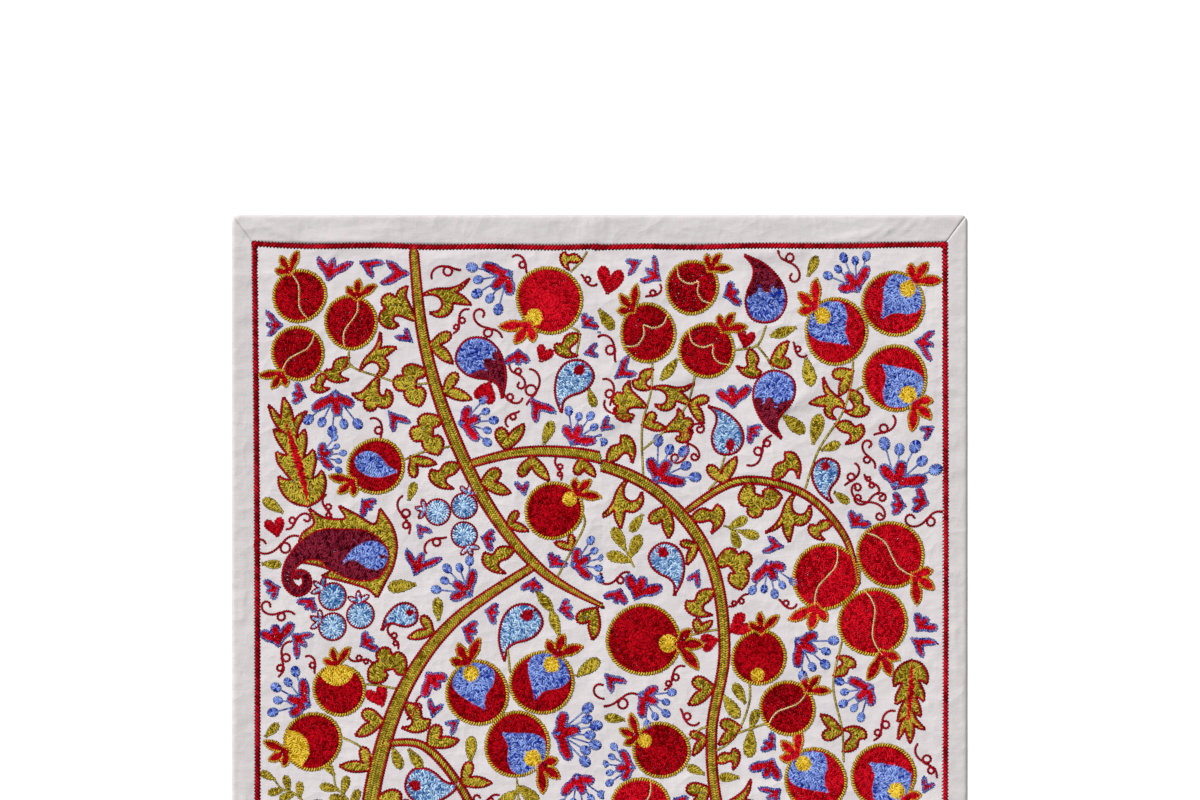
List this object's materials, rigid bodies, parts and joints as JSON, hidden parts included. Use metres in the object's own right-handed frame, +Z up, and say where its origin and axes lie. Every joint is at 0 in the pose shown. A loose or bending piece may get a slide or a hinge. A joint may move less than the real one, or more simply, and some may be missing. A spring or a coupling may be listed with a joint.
{
  "type": "embroidered wall cloth",
  "caption": "Flat rectangular suzani cloth of joined ground panels with mitred edging strips, embroidered with fruits, paisleys, leaves and stems, to lay over a surface or hang up.",
  "frame": {"origin": "on the surface that the cloth lies on, under the middle of the cloth", "axes": "+X across the width to the right panel, +Y up the length to the top edge, +Z up out of the embroidered face"},
  "size_m": [1, 1.5, 0.0038],
  "materials": {
    "ground_cloth": "plain woven off-white silk and cotton, soft sheen",
    "edging_cloth": "plain woven off-white cotton, pressed over the edge",
    "embroidery_thread": "silk thread in red, crimson, wine, olive, yellow, cobalt and light blue"
  },
  "bodies": {
    "root": {"panel_left": "ground_cloth", "panel_right": "ground_cloth", "edging_top": "edging_cloth", "edging_bottom": "edging_cloth", "edging_left": "edging_cloth", "edging_right": "edging_cloth"}
  },
  "joints": []
}
